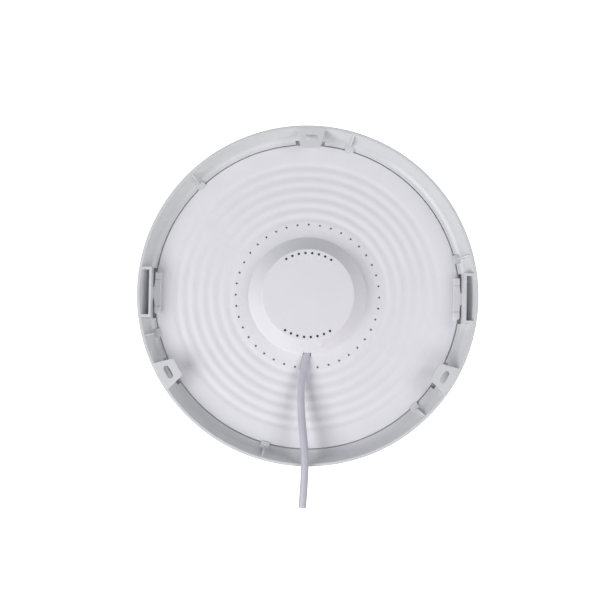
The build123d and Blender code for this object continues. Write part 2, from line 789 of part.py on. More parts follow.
for name, place, size, from_x in (
    ("bridge_rectifier", bridge_place, bridge_size, board_left),
    ("driver_chip", chip_place, chip_size, 0.0),
    ("output_diode", diode_place, diode_size, 0.0),
):
    with BuildPart() as package:
        with Locations(on_board(place, from_x=from_x)):
            Box(*size, align=from_below)
        chamfer(package.edges().group_by(Axis.Z)[-1], package_chamfer)
    keep(package.part, name)

for name, place, radius, height in (
    ("input_capacitor", input_can_place, input_can_r, input_can_height),
    ("output_capacitor", output_can_place, output_can_r, output_can_height),
):
    with BuildPart() as can:
        with BuildSketch(Plane.XZ):
            with BuildLine():
                groove_mid = (radius - can_groove_depth, can_groove_height)
                groove_low = (radius, can_groove_height - can_groove_width / 2)
                groove_high = (radius, can_groove_height + can_groove_width / 2)
                Polyline(groove_low, (radius, 0), (0, 0), (0, height), (radius, height), groove_high)
                ThreePointArc(groove_high, groove_mid, groove_low)
            make_face()
        revolve(axis=Axis.Z)
    with BuildPart() as placed_can:
        with Locations(on_board(place)):
            add(can.part)
    keep(placed_can.part, name)

# Transformer: a ferrite frame with a middle post, and the wound bobbin round that post
with BuildPart() as transformer_core:
    with Locations(on_board(core_place)):
        Box(*core_size, align=from_below)
        window = (core_size[0] - 2 * core_frame - core_post) / 2
        opening_height = core_size[2] - 2 * core_frame
        for k in (-1, 1):
            with Locations((k * (core_post + window) / 2, 0, core_frame)):
                Box(window, core_size[1], opening_height, align=from_below, mode=Mode.SUBTRACT)
keep(transformer_core.part, "transformer_core")

with BuildPart() as transformer_winding:
    winding_height = core_size[2] - 2 * core_frame - 2 * winding_gap
    winding_width = core_size[0] - 2 * core_frame - 2 * winding_gap
    with Locations(on_board(core_place, core_frame + winding_gap)):
        Box(winding_width, core_size[1] + 2 * winding_side, winding_height, align=from_below)
        Box(core_post + 2 * winding_gap, core_size[1] + 2 * winding_gap, winding_height,
            align=from_below, mode=Mode.SUBTRACT)
    fillet(transformer_winding.edges().filter_by(Axis.Z).group_by(Axis.Y)[0], winding_round)
    fillet(transformer_winding.edges().filter_by(Axis.Z).group_by(Axis.Y)[-1], winding_round)
keep(transformer_winding.part, "transformer_winding")

# Mains lead: the free stretch, the tail inside the cover and its two cores
make_wires("cord", [cord_points], cord_d)

with BuildPart() as cord_tail:
    with BuildSketch(Plane(origin=tail_end, z_dir=cord_heading)):
        Circle(cord_d / 2)
    extrude(amount=tail_length)
keep(cord_tail.part, "cord_tail")

for name, k in (("neutral_core", -1), ("live_core", 1)):
    core_start = tail_end + cord_across * (k * core_pitch / 2)
    core_bend = core_start - cord_heading * core_straight
    core_end_x = terminal_place[0] + k * terminal_pitch / 2
    core_rise = Vector(core_end_x, terminal_face_y - core_last_run, hole_level)
    core_end = Vector(core_end_x, terminal_face_y, hole_level)
    make_wires(name, [[tuple(core_start), tuple(core_bend), tuple(core_rise), tuple(core_end)]], core_d)

# Clamp: a bar under the tail with a round seat in it, screwed up to two bosses
with BuildPart() as cord_clamp:
    with Locations((clamp_at.X, clamp_at.Y, clamp_under)):
        Box(2 * clamp_half, clamp_length, clamp_seat - clamp_under, align=from_below)
    with BuildSketch(Plane(origin=clamp_at - cord_heading * clamp_length, z_dir=cord_heading)):
        Circle(cord_d / 2 + clamp_clear)
    extrude(amount=2 * clamp_length, mode=Mode.SUBTRACT)
    with Locations(*[(x, y, clamp_under) for x, y in clamp_holes]):
        Cylinder(screw_free_r, clamp_seat - clamp_under, align=from_below, mode=Mode.SUBTRACT)
keep(cord_clamp.part, "cord_clamp")

clamp_seats = [(x, y, clamp_under) for x, y in clamp_holes]
make_screws("cord_clamp_screws", clamp_seats, cover_under - clamp_under - screw_tip_clear)
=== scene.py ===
import math

import bpy
import numpy as np
from mathutils import Matrix, Vector


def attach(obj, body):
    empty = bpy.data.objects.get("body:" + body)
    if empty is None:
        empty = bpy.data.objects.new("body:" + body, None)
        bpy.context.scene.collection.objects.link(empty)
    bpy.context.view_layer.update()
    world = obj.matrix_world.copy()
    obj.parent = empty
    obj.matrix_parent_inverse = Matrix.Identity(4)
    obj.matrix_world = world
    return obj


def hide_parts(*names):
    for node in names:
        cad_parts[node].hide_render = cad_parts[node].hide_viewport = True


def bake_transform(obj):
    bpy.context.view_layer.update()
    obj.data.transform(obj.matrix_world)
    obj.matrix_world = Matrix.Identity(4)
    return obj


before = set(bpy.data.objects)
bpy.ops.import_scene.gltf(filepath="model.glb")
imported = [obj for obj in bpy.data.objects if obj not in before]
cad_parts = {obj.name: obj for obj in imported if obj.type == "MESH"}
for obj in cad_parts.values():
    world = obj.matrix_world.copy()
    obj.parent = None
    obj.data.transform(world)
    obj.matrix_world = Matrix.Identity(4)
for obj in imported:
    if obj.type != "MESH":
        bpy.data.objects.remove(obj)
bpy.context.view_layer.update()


# Mounting ring: one white moulding in ABS that three slotted lugs hold to the ceiling. Its wall leans in from
# the rear lip to a hollow flange, six thin gussets with noses brace it, and two pockets catch the lamp's snap
# latches. Sizes of pieces, here and below, are in millimetres, in the frame's own axes.
RING_R, LIP_INNER_R, LIP_TOP, LIP_FOOT = 150.0, 147.4, -0.2, -2.2
OPENING_R, FLANGE_TOP, FLANGE_UNDER = 135.2, -15.6, -17.8
FOOT_R, FOOT_TOP, FOOT_OUTER_R, FOOT_UNDER, UNDER_START_R = 142.3, -11.5, 144.9, -12.5, 143.6
WALL_ROUNDS = [0.35, 0.5, 0.8, 0.8]
COVE_SAG, EDGE_ROUND = 0.75, 0.3
ROUND_MIDDLE = 0.29  # a quarter round's middle is this share of its radius in from both sides
LUG_ANGLES = np.radians([90.0, 210.0, 330.0])
LUG_INNER_R, LUG_INNER_HALF, LUG_OUTER_HALF, LUG_END_R, LUG_THICK = 130.0, 8.2, 14.0, 147.9, 3.0
LUG_CORNER_POWER = 40
SLOT_R, SLOT_HALF, SLOT_STRAIGHT = 139.6, 2.45, 3.55
NOTCH_REACH, NOTCH_HALF = 3.3, 12.8
RIB_ANGLES = np.radians(75.0 + 60.0 * np.arange(6))
RIB_TOE_R, RIB_TOE_TOP, RIB_KNEE, RIB_LIP_Z, RIB_HALF = 137.6, -14.0, (142.0, -3.6), -0.6, 0.75
RIB_BACK = [(148.4, -1.0), (143.6, -12.0)]
NOSE_TIP_R, NOSE_STEM_R, NOSE_TOP, NOSE_UNDER, NOSE_HALF = 133.3, 135.3, -13.8, -14.7, 4.0
NOSE_BACK_R, NOSE_HEEL_R, NOSE_FOOT = 139.8, 139.0, -16.2
POCKET_FACE_X, POCKET_INNER_X, POCKET_HALF, POCKET_END, POCKET_LEAN = 136.0, 139.4, 19.65, 22.25, 1.3
POCKET_FOOT, WINDOW_SILL, WINDOW_HEAD, WINDOW_HALF = -15.9, -14.1, -10.8, 5.7
END_INNER_X, END_OUTER_X, END_FOOT, END_OUTER_FOOT = 138.0, 146.6, -15.5, (141.3, -12.2)
TUCK = 0.03  # how far a wall's faces stay inside its neighbour's, so that no two lie in one plane


def put_piece(name, points, faces, sharp_degrees=32.0):
    """An object at the origin from points in millimetres, smooth but for edges sharper than an angle."""
    mesh = bpy.data.meshes.new(name)
    mesh.from_pydata((np.asarray(points, float) * 0.001).tolist(), [], [list(map(int, f)) for f in faces])
    mesh.validate()
    mesh.polygons.foreach_set("use_smooth", np.ones(len(mesh.polygons), bool))
    mesh.set_sharp_from_angle(angle=math.radians(sharp_degrees))
    piece = bpy.data.objects.new(name, mesh)
    bpy.context.scene.collection.objects.link(piece)
    return piece


def taken_apart(piece):
    """A piece's points in millimetres and its faces, with its modifiers applied, and the piece removed."""
    mesh = bpy.data.meshes.new_from_object(piece.evaluated_get(bpy.context.evaluated_depsgraph_get()))
    points = np.empty(len(mesh.vertices) * 3)
    mesh.vertices.foreach_get("co", points)
    faces = [list(face.vertices) for face in mesh.polygons]
    bpy.data.objects.remove(piece)
    bpy.data.meshes.remove(mesh)
    return points.reshape(-1, 3) * 1000, faces


def softened(shape, width=0.25):
    """A shape with a small chamfer on its sharp edges, as a mould leaves them."""
    rough = put_piece("rough", *shape)
    bevel = rough.modifiers.new("chamfer", "BEVEL")
    bevel.width = width * 0.001
    bevel.segments = 1
    bevel.limit_method = "ANGLE"
    bevel.angle_limit = math.radians(35.0)
    return taken_apart(rough)


def grid_quads(rows, columns, wrap_rows=True, wrap_columns=True):
    """Corner numbers of the quads of a grid of points, row by row, closed round on itself where asked."""
    i = np.arange(rows if wrap_rows else rows - 1)[:, None]
    j = np.arange(columns if wrap_columns else columns - 1)[None, :]
    down, across = (i + 1) % rows, (j + 1) % columns
    corners = [i * columns + j, down * columns + j, down * columns + across, i * columns + across]
    return np.stack(corners, -1).reshape(-1, 4)


def joined(shapes):
    """One list of points and one of faces from several shapes."""
    starts = np.cumsum([0] + [len(points) for points, faces in shapes])
    numbered = zip(starts, shapes)
    all_faces = [[int(k) + start for k in face] for start, (points, faces) in numbered for face in faces]
    return np.vstack([points for points, faces in shapes]), all_faces


def rounded(corners, radii, steps=6):
    """An open outline whose corners are replaced by arcs that touch both their sides."""
    corners = np.asarray(corners, float)
    outline = [corners[:1]]
    for before, here, after, radius in zip(corners, corners[1:], corners[2:], radii):
        a, b = before - here, after - here
        a, b = a / np.linalg.norm(a), b / np.linalg.norm(b)
        half = math.acos(np.clip(a @ b, -1, 1)) / 2
        middle = here + (a + b) / np.linalg.norm(a + b) * radius / math.sin(half)
        start, end = here + a * radius / math.tan(half), here + b * radius / math.tan(half)
        t, swing = np.linspace(0, 1, steps)[:, None], math.pi - 2 * half
        from_start, from_end = np.sin((1 - t) * swing), np.sin(t * swing)
        arc = (from_start * (start - middle) + from_end * (end - middle)) / math.sin(swing)
        outline.append(middle + arc)
    return np.vstack(outline + [corners[-1:]])


def cove(r):
    """Height of the flange's hollow upper side: a straight fall from foot to opening, less a parabola."""
    t = (r - OPENING_R) / (FOOT_R - OPENING_R)
    return FLANGE_TOP + (FOOT_TOP - FLANGE_TOP) * t - 4 * COVE_SAG * t * (1 - t)


def underside(r):
    """Height of the flange's rounded underside, sagging as the cove does."""
    t = (r - OPENING_R) / (FOOT_OUTER_R - OPENING_R)
    return FLANGE_UNDER + (FOOT_UNDER - FLANGE_UNDER) * t - 4 * COVE_SAG * t * (1 - t)


def ring_wall():
    """The ring's closed section carried round, its flange's edge straight at pockets and notched at lugs.

    A section just before and just after each end of a pocket or notch makes the step there sharp.
    """
    pocket_turn, notch_turn = math.atan2(POCKET_END, POCKET_FACE_X), NOTCH_HALF / OPENING_R
    pocket_ends = np.array([-pocket_turn, pocket_turn, np.pi - pocket_turn, np.pi + pocket_turn])
    breaks = np.concatenate([LUG_ANGLES - notch_turn, LUG_ANGLES + notch_turn, pocket_ends])
    breaks = (breaks + np.pi) % (2 * np.pi) - np.pi
    hair = 1e-4
    turn = np.linspace(-np.pi, np.pi, 720, endpoint=False)
    turn = np.sort(np.concatenate([turn, breaks - hair, breaks + hair]))
    from_lug = np.abs((turn[:, None] - LUG_ANGLES[None, :] + np.pi) % (2 * np.pi) - np.pi).min(1)
    from_side = np.abs((turn + np.pi / 2) % np.pi - np.pi / 2)
    edge = np.where(from_lug < notch_turn, OPENING_R + NOTCH_REACH, OPENING_R)
    edge = np.where(from_side < pocket_turn, POCKET_FACE_X / np.cos(from_side), edge)[:, None]
    wall = [(FOOT_R, FOOT_TOP), (LIP_INNER_R, LIP_TOP), (RING_R, LIP_TOP), (RING_R, LIP_FOOT),
            (FOOT_OUTER_R, FOOT_UNDER), (UNDER_START_R, underside(UNDER_START_R))]
    wall = rounded(wall, WALL_ROUNDS, steps=5)[1:-1]
    share = np.linspace(0, 1, 12)[None, :]
    top_r = edge + EDGE_ROUND + (FOOT_R - edge - EDGE_ROUND) * share
    under_r = UNDER_START_R + (edge + EDGE_ROUND - UNDER_START_R) * share
    low, high, soft = underside(edge), cove(edge), EDGE_ROUND * ROUND_MIDDLE
    ones = np.ones_like(edge)
    r = np.hstack([top_r, ones * wall[:, 0], under_r, edge + soft, edge, edge, edge + soft])
    z = np.hstack([cove(top_r), ones * wall[:, 1], underside(under_r),
                   low + soft, low + EDGE_ROUND, high - EDGE_ROUND, high - soft])
    points = np.stack([r * np.cos(turn)[:, None], r * np.sin(turn)[:, None], z], -1)
    return points.reshape(-1, 3), grid_quads(*r.shape)[:, ::-1]


def turned(shape, angles):
    """Copies of a shape that stands at +X, turned about the ring's axis."""
    points, faces = shape
    c, s = np.cos(angles)[:, None], np.sin(angles)[:, None]
    x, y, z = points.T
    copies = np.stack([c * x - s * y, s * x + c * y, np.broadcast_to(z, (len(angles), len(z)))], -1)
    return [(copy, faces) for copy in copies]


def prism(outline, low, high):
    """A flat outline of radius and height, carried straight from low to high along the tangent."""
    outline = np.asarray(outline, float)
    n, ring = len(outline), np.arange(len(outline))
    ends = [np.column_stack([outline[:, 0], np.full(n, y), outline[:, 1]]) for y in (low, high)]
    sides = np.stack([ring, (ring + 1) % n, (ring + 1) % n + n, ring + n], -1)
    return np.vstack(ends), [ring[::-1], ring + n, *sides]


def lug_plate():
    """A lug at +X: from the slot's middle, each direction runs from the slot's edge out to the plate's side.

    The slot is a straight run with round ends. The plate reaches to the nearest of its four sides, by a high
    power mean, which rounds its corners.
    """
    way = np.linspace(0, 2 * np.pi, 160, endpoint=False)
    c, s = np.cos(way), np.sin(way)
    straight = SLOT_HALF / np.maximum(np.abs(c), 1e-9)
    round_end = SLOT_STRAIGHT * np.abs(s) + np.sqrt(np.maximum(SLOT_HALF**2 - (SLOT_STRAIGHT * c) ** 2, 0))
    slot = np.where(straight * np.abs(s) <= SLOT_STRAIGHT, straight, round_end)
    lean = math.atan2(LUG_OUTER_HALF - LUG_INNER_HALF, RING_R - LUG_INNER_R)
    side = (LUG_INNER_HALF + (SLOT_R - LUG_INNER_R) * math.tan(lean)) * math.cos(lean)
    facing = np.array([np.pi, 0.0, np.pi / 2 + lean, -np.pi / 2 - lean])
    reach = np.array([SLOT_R - LUG_INNER_R, LUG_END_R - SLOT_R, side, side])
    toward = np.maximum(np.cos(way[:, None] - facing[None, :]), 0) / reach
    outer = (toward**LUG_CORNER_POWER).sum(1) ** (-1 / LUG_CORNER_POWER)
    e, soft = EDGE_ROUND, EDGE_ROUND * ROUND_MIDDLE
    rows = [(slot, -LUG_THICK), (slot, -e), (slot + soft, -soft), (slot + e, 0.0), (slot + 2 * e, 0.0),
            (outer - 2 * e, 0.0), (outer - e, 0.0), (outer - soft, -soft), (outer, -e), (outer, -LUG_THICK)]
    points = np.stack([np.stack([SLOT_R + d * c, d * s, np.full_like(d, z)], -1) for d, z in rows], 1)
    return points.reshape(-1, 3), grid_quads(len(way), len(rows))[:, ::-1]


def pocket_wall():
    """The pocket's inner wall at +X: two faces of nine panels, with a window in place of the middle one.

    The face towards the lamp leans back above the window.
    """
    y = np.array([-POCKET_END, -WINDOW_HALF, WINDOW_HALF, POCKET_END])
    z = np.array([POCKET_FOOT, WINDOW_SILL, WINDOW_HEAD, LIP_TOP])
    yy, zz = np.meshgrid(y, z, indexing="ij")
    face_x = np.where(zz == LIP_TOP, POCKET_FACE_X + POCKET_LEAN, POCKET_FACE_X)
    inner_x = np.full_like(zz, POCKET_INNER_X)
    sheets = [np.stack([x.ravel(), yy.ravel(), zz.ravel()], -1) for x in (face_x, inner_x)]
    n = zz.size
    panels = grid_quads(4, 4, False, False)[np.arange(9) != 4]
    rim = np.array([0, 4, 8, 12, 13, 14, 15, 11, 7, 3, 2, 1])
    window = np.array([5, 6, 10, 9])
    loops = [(loop, np.roll(loop, -1)) for loop in (rim, window)]
    bands = [np.stack([here, after, after + n, here + n], -1) for here, after in loops]
    return np.vstack(sheets), np.vstack([panels[:, ::-1], panels + n, *bands])


both_sides = np.array([0.0, np.pi])
rib_outline = [(RIB_TOE_R, FLANGE_TOP), (RIB_TOE_R, RIB_TOE_TOP), RIB_KNEE, (LIP_INNER_R, RIB_LIP_Z),
               *RIB_BACK]
nose_outline = [(NOSE_TIP_R, NOSE_UNDER), (NOSE_TIP_R, NOSE_TOP), (NOSE_BACK_R, NOSE_TOP),
                (NOSE_HEEL_R, FLANGE_TOP), (NOSE_STEM_R, NOSE_FOOT), (NOSE_STEM_R, NOSE_UNDER)]
end_outline = [(END_INNER_X, END_FOOT), (END_INNER_X, LIP_TOP - TUCK), (END_OUTER_X, LIP_TOP - TUCK),
               END_OUTER_FOOT]
ring_shapes = [ring_wall()] + turned(lug_plate(), LUG_ANGLES)
ring_shapes += turned(softened(prism(rib_outline, -RIB_HALF, RIB_HALF), width=0.2), RIB_ANGLES)
ring_shapes += turned(softened(prism(nose_outline, -NOSE_HALF, NOSE_HALF), width=0.4), RIB_ANGLES)
ring_shapes += turned(softened(pocket_wall()), both_sides)
ring_shapes += turned(softened(prism(end_outline, POCKET_HALF, POCKET_END - TUCK)), both_sides)
ring_shapes += turned(softened(prism(end_outline, TUCK - POCKET_END, -POCKET_HALF)), both_sides)
mounting_ring = put_piece("ring_moulding", *joined(ring_shapes))


def finish(name, colour, shade, roughness, spot_mm=22.0, grain_mm=0.6, depth_mm=0.02, metal=0.0, clear=0.0):
    """A surface whose colour and gloss run between two tones in soft spots, with a fine grain as bump."""
    material = bpy.data.materials.new(name)
    material.use_nodes = True
    nodes, links = material.node_tree.nodes, material.node_tree.links
    shader = nodes["Principled BSDF"]
    shader.inputs["Metallic"].default_value = metal
    shader.inputs["Transmission Weight"].default_value = clear
    where = nodes.new("ShaderNodeTexCoord")
    where.name = "where"
    spots = nodes.new("ShaderNodeTexNoise")
    spots.inputs["Scale"].default_value = 1000.0 / spot_mm
    spots.inputs["Detail"].default_value = 3.0
    tone = nodes.new("ShaderNodeValToRGB")
    tone.name = "tone"
    dark_stop, light_stop = tone.color_ramp.elements
    dark_stop.position, light_stop.position = 0.3, 0.7
    dark_stop.color, light_stop.color = (*shade, 1), (*colour, 1)
    gloss_spread, least_roughness = 0.05, 0.02
    gloss = nodes.new("ShaderNodeMapRange")
    gloss.inputs["To Min"].default_value = max(roughness - gloss_spread, least_roughness)
    gloss.inputs["To Max"].default_value = roughness + gloss_spread
    grain = nodes.new("ShaderNodeTexNoise")
    grain.inputs["Scale"].default_value = 1000.0 / grain_mm
    grain.inputs["Detail"].default_value = 2.0
    bump = nodes.new("ShaderNodeBump")
    bump.inputs["Strength"].default_value = 0.35
    bump.inputs["Distance"].default_value = depth_mm * 0.001
    links.new(where.outputs["Object"], spots.inputs["Vector"])
    links.new(where.outputs["Object"], grain.inputs["Vector"])
    links.new(spots.outputs["Fac"], tone.inputs["Fac"])
    links.new(tone.outputs["Color"], shader.inputs["Base Color"])
    links.new(spots.outputs["Fac"], gloss.inputs["Value"])
    links.new(gloss.outputs["Result"], shader.inputs["Roughness"])
    links.new(grain.outputs["Fac"], bump.inputs["Height"])
    links.new(bump.outputs["Normal"], shader.inputs["Normal"])
    return material


ring_white = finish("ring_white", (0.70, 0.703, 0.716), (0.68, 0.683, 0.697), roughness=0.26, depth_mm=0.01)
mounting_ring.data.materials.append(ring_white)
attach(mounting_ring, "ring")
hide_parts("mounting_ring")


# Back cover: a white moulding with a raised middle for the driver, six round ripples that stiffen it, a ring
# of vent holes, two arcs of larger ones, four pads by its edge, a slot for the lead, and bosses inside for
# the screws of boards, dish and clamp.
COVER_R, COVER_TOP, COVER_UNDER, SKIRT_INNER_R = 134.5, -15.0, -16.6, 132.9
DOME_TOP, DOME_TOP_R, DOME_BASE_R, DOME_ROUND = -0.8, 40.4, 52.0, 1.6
DOME_UNDER, DOME_INNER_TOP_R, DOME_INNER_BASE_R = -2.4, 39.64, 51.24
RIPPLE_START_R, RIPPLE_END_R, RIPPLES, RIPPLE_DEPTH = 64.7, 120.1, 6, 0.6
RIM_TOP, RIM_UNDER, RIM_R = -19.0, -20.6, 140.7
RIM_ROUNDS = [1.0, 0.4, 0.3, 0.3, 0.3, 0.4]
VENT_CIRCLE_R, VENT_R, VENT_PITCH, VENTS = 63.5, 0.85, 9.0, 40
DOME_VENT_CIRCLE_R, DOME_VENT_R, DOME_VENT_PITCH, DOME_VENTS = 37.0, 1.1, 9.2, 8
CORD_EXIT = np.array([0.7, -49.7, -16.9])
CORD_HEADING = np.array([-3.1, -14.3, 4.4]) / math.sqrt(3.1**2 + 14.3**2 + 4.4**2)
CORD_SLOT_HALF, CORD_SLOT_BACK, CORD_SLOT_AHEAD = 3.55, -6.0, 22.0
BAR_INNER_X, BAR_OUTER_X = 129.4, 134.7
RELIEF_X, RELIEF_HALF, RELIEF_FLOOR = (128.05, 128.95), 15.5, -15.3
PAD_START, PAD_BEND, PAD_END, PAD_END_X, PAD_FOOT, PAD_TOP = 11.8, 15.6, 18.2, 134.37, -15.5, -10.8
BOSS_ROOT, CLAMP_BOSS_ROOT = -15.8, -5.5
CUT_REACH = 3.0  # how far a hole's cutter goes past the cover's upper side, up and down


def revolved(profile, count):
    """A profile of (radius, height), its ends on the axis, carried once round: the end points become poles.

    The steps start a little off +X, clear of the corners of what is cut.
    """
    first_step = 0.37
    turn = (np.arange(count)[:, None] + first_step) * 2 * np.pi / count
    r, z = profile[1:-1, 0][None, :], profile[1:-1, 1][None, :]
    n, start = r.shape[1], np.arange(count)
    after = (start + 1) % count
    body = np.stack([r * np.cos(turn), r * np.sin(turn), np.broadcast_to(z, (count, n))], -1)
    poles = np.array([(0, 0, profile[0, 1]), (0, 0, profile[-1, 1])])
    first = np.stack([np.full(count, count * n), start * n, after * n], -1)
    last = np.stack([np.full(count, count * n + 1), after * n + n - 1, start * n + n - 1], -1)
    sides = grid_quads(count, n, True, False)[:, ::-1]
    return np.vstack([body.reshape(-1, 3), poles]), [*first, *last, *sides]


def cover_profile():
    """From the axis out: flat, slope, land, cosine ripples and rim; then back in along the under side."""
    per_ripple = 14
    ripple_r = np.linspace(RIPPLE_START_R, RIPPLE_END_R, RIPPLES * per_ripple + 1)[1:-1]
    share = (ripple_r - RIPPLE_START_R) / (RIPPLE_END_R - RIPPLE_START_R)
    wave = (1 - np.cos(share * RIPPLES * 2 * np.pi)) / 2
    middle = [(0, DOME_TOP), (DOME_TOP_R, DOME_TOP), (DOME_BASE_R, COVER_TOP), (RIPPLE_START_R, COVER_TOP)]
    middle = rounded(middle, [DOME_ROUND, DOME_ROUND])
    rim = [(RIPPLE_END_R, COVER_TOP), (COVER_R, COVER_TOP), (COVER_R, RIM_TOP), (RIM_R, RIM_TOP),
           (RIM_R, RIM_UNDER), (SKIRT_INNER_R, RIM_UNDER), (SKIRT_INNER_R, COVER_UNDER),
           (RIPPLE_END_R, COVER_UNDER)]
    rim = rounded(rim, RIM_ROUNDS, steps=5)
    ripples = np.column_stack([ripple_r, COVER_TOP - RIPPLE_DEPTH * wave])
    under = (ripples + (0, COVER_UNDER - COVER_TOP))[::-3]
    inside = np.array([(RIPPLE_START_R, COVER_UNDER), (DOME_INNER_BASE_R, COVER_UNDER),
                       (DOME_INNER_TOP_R, DOME_UNDER), (0, DOME_UNDER)])
    return np.vstack([middle, ripples, rim, under, inside])


def cylinders(places, radius, low, high, count=20):
    """Closed upright cylinders round the given points of the plan, their corners a little off +X."""
    first_turn = 0.11
    turn = np.linspace(0, 2 * np.pi, count, endpoint=False) + first_turn
    circle = np.column_stack([radius * np.cos(turn), radius * np.sin(turn)])
    faces = [*grid_quads(2, count, False, True)[:, ::-1], np.arange(count)[::-1], np.arange(count) + count]
    rings = np.asarray(places, float)[:, None, :] + circle
    levels = [np.full(count, z) for z in (low, high)]
    return [(np.vstack([np.column_stack([ring, level]) for level in levels]), faces) for ring in rings]


def on_circle(radius, degrees):
    """Points of the plan on a circle about the axis."""
    angle = np.radians(degrees)
    return np.stack([radius * np.cos(angle), radius * np.sin(angle)], -1)


def block(low, high, across=(1, 0, 0), along=(0, 1, 0), centre=(0, 0, 0)):
    """A closed box between two corners, given along its own three directions."""
    low, high = np.asarray(low, float), np.asarray(high, float)
    axes = np.stack([across, along, np.cross(across, along)])
    corner = np.array([(i, j, k) for k in (0, 1) for j in (0, 1) for i in (0, 1)])
    faces = [[0, 2, 3, 1], [4, 5, 7, 6], [0, 1, 5, 4], [2, 6, 7, 3], [0, 4, 6, 2], [1, 3, 7, 5]]
    return np.asarray(centre) + (low + (high - low) * corner) @ axes, faces


def plate(outlines, levels):
    """Plan outlines, one for each level from the lowest up, joined into a closed solid."""
    n = len(outlines[0])
    points = [np.column_stack([outline, np.full(n, z)]) for outline, z in zip(outlines, levels)]
    sides = grid_quads(len(levels), n, False, True)[:, ::-1]
    return np.vstack(points), [*sides, np.arange(n)[::-1], np.arange(n) + n * (len(levels) - 1)]


def cut(piece, shapes):
    """Takes closed shapes away from a closed piece and gives what is left as points and faces."""
    cutter = put_piece("cutter", *joined(shapes))
    away = piece.modifiers.new("cut", "BOOLEAN")
    away.operation, away.solver, away.object = "DIFFERENCE", "EXACT", cutter
    left = taken_apart(piece)
    bpy.data.objects.remove(cutter)
    return left


vent_turns = 270 + VENT_PITCH * np.arange(1, VENTS)
dome_spread = DOME_VENT_PITCH * (np.arange(DOME_VENTS) - (DOME_VENTS - 1) / 2)
dome_turns = np.concatenate([middle + dome_spread for middle in (90.0, -90.0)])
cord_across = np.cross(CORD_HEADING, (0, 0, 1))
cord_across /= np.linalg.norm(cord_across)
slot_low = (-CORD_SLOT_HALF, CORD_SLOT_BACK, -CORD_SLOT_HALF)
slot_high = (CORD_SLOT_HALF, CORD_SLOT_AHEAD, CORD_SLOT_HALF)
relief_low = (RELIEF_X[0], -RELIEF_HALF, RELIEF_FLOOR)
relief_high = (RELIEF_X[1], RELIEF_HALF, COVER_TOP + CUT_REACH)
vents = on_circle(VENT_CIRCLE_R, vent_turns)
dome_vents = on_circle(DOME_VENT_CIRCLE_R, dome_turns)
holes = cylinders(vents, VENT_R, COVER_TOP - CUT_REACH, COVER_TOP + CUT_REACH)
holes += cylinders(dome_vents, DOME_VENT_R, DOME_TOP - CUT_REACH, DOME_TOP + CUT_REACH)
holes += [block(slot_low, slot_high, cord_across, CORD_HEADING, CORD_EXIT)]
holes += turned(block(relief_low, relief_high), both_sides)
cover_shapes = [cut(put_piece("cover_blank", *revolved(cover_profile(), count=400)), holes)]
pad_plan = np.array([(BAR_INNER_X, PAD_START), (BAR_OUTER_X, PAD_START), (BAR_OUTER_X, PAD_BEND),
                     (PAD_END_X, PAD_END), (BAR_INNER_X, PAD_END)])
for plan in (pad_plan, pad_plan[::-1] * (1, -1)):
    cover_shapes += turned(softened(plate([plan, plan], (PAD_FOOT, PAD_TOP)), width=0.35), both_sides)
driver_bosses = [(x, y) for x in (-46.5, 46.5) for y in (-25.5, 25.5)]
light_bosses = on_circle(120.9, 30 + 60.0 * np.arange(6))
dish_bosses = [(-57.0, 0.0), (57.0, 0.0)]
clamp_bosses = [(-6.28, -42.21), (10.92, -42.21)]
cover_shapes += cylinders(driver_bosses, radius=2.8, low=-18.0, high=BOSS_ROOT, count=24)
cover_shapes += cylinders(light_bosses, radius=4.0, low=-19.5, high=BOSS_ROOT, count=24)
cover_shapes += cylinders(dish_bosses, radius=2.6, low=-27.6, high=BOSS_ROOT, count=24)
cover_shapes += cylinders(clamp_bosses, radius=3.0, low=-19.7, high=CLAMP_BOSS_ROOT, count=24)
back_cover = put_piece("cover_moulding", *joined(cover_shapes))
cover_white = finish("cover_white", (0.813, 0.80, 0.836), (0.798, 0.785, 0.821), roughness=0.42)
back_cover.data.materials.append(cover_white)
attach(back_cover, "lamp")
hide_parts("back_cover")


# Snap latches: a springy bar between two pads on the cover's edge, moulded with a tongue that snaps into the
# window of the ring's pocket. The tongue's upper edge is ramped, so that it gives way as the lamp goes up.
BAR_HALF, BAR_FOOT, BAR_TOP = 11.6, -14.8, -11.2
TONGUE_HALF, TONGUE_NECK_X, TONGUE_TIP_X, TONGUE_RAMP_X = 5.2, 135.3, 137.6, 136.5
TONGUE_LEVELS = (-13.6, -12.4, -11.3)
ROOT_TUCK = 0.02
bar_middle_x = (BAR_INNER_X + BAR_OUTER_X) / 2
root_half = BAR_HALF - ROOT_TUCK
tongue_half = np.array([(bar_middle_x, root_half), (BAR_OUTER_X - ROOT_TUCK, root_half),
                        (TONGUE_NECK_X, TONGUE_HALF), (TONGUE_TIP_X, TONGUE_HALF)])
tongue_plan = np.vstack([tongue_half * (1, -1), tongue_half[::-1]])
ramped_plan = np.where(tongue_plan == TONGUE_TIP_X, TONGUE_RAMP_X, tongue_plan)
bar = block((BAR_INNER_X, -BAR_HALF, BAR_FOOT), (BAR_OUTER_X, BAR_HALF, BAR_TOP))
tongue = plate([tongue_plan, tongue_plan, ramped_plan], TONGUE_LEVELS)
latch_shape = joined([softened(bar), softened(tongue, width=0.2)])
for name, angle in (("latch_right", 0.0), ("latch_left", np.pi)):
    latch = put_piece(name + "_bar", *turned(latch_shape, np.array([angle]))[0])
    latch.data.materials.append(cover_white)
    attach(latch, name)
    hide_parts(name)


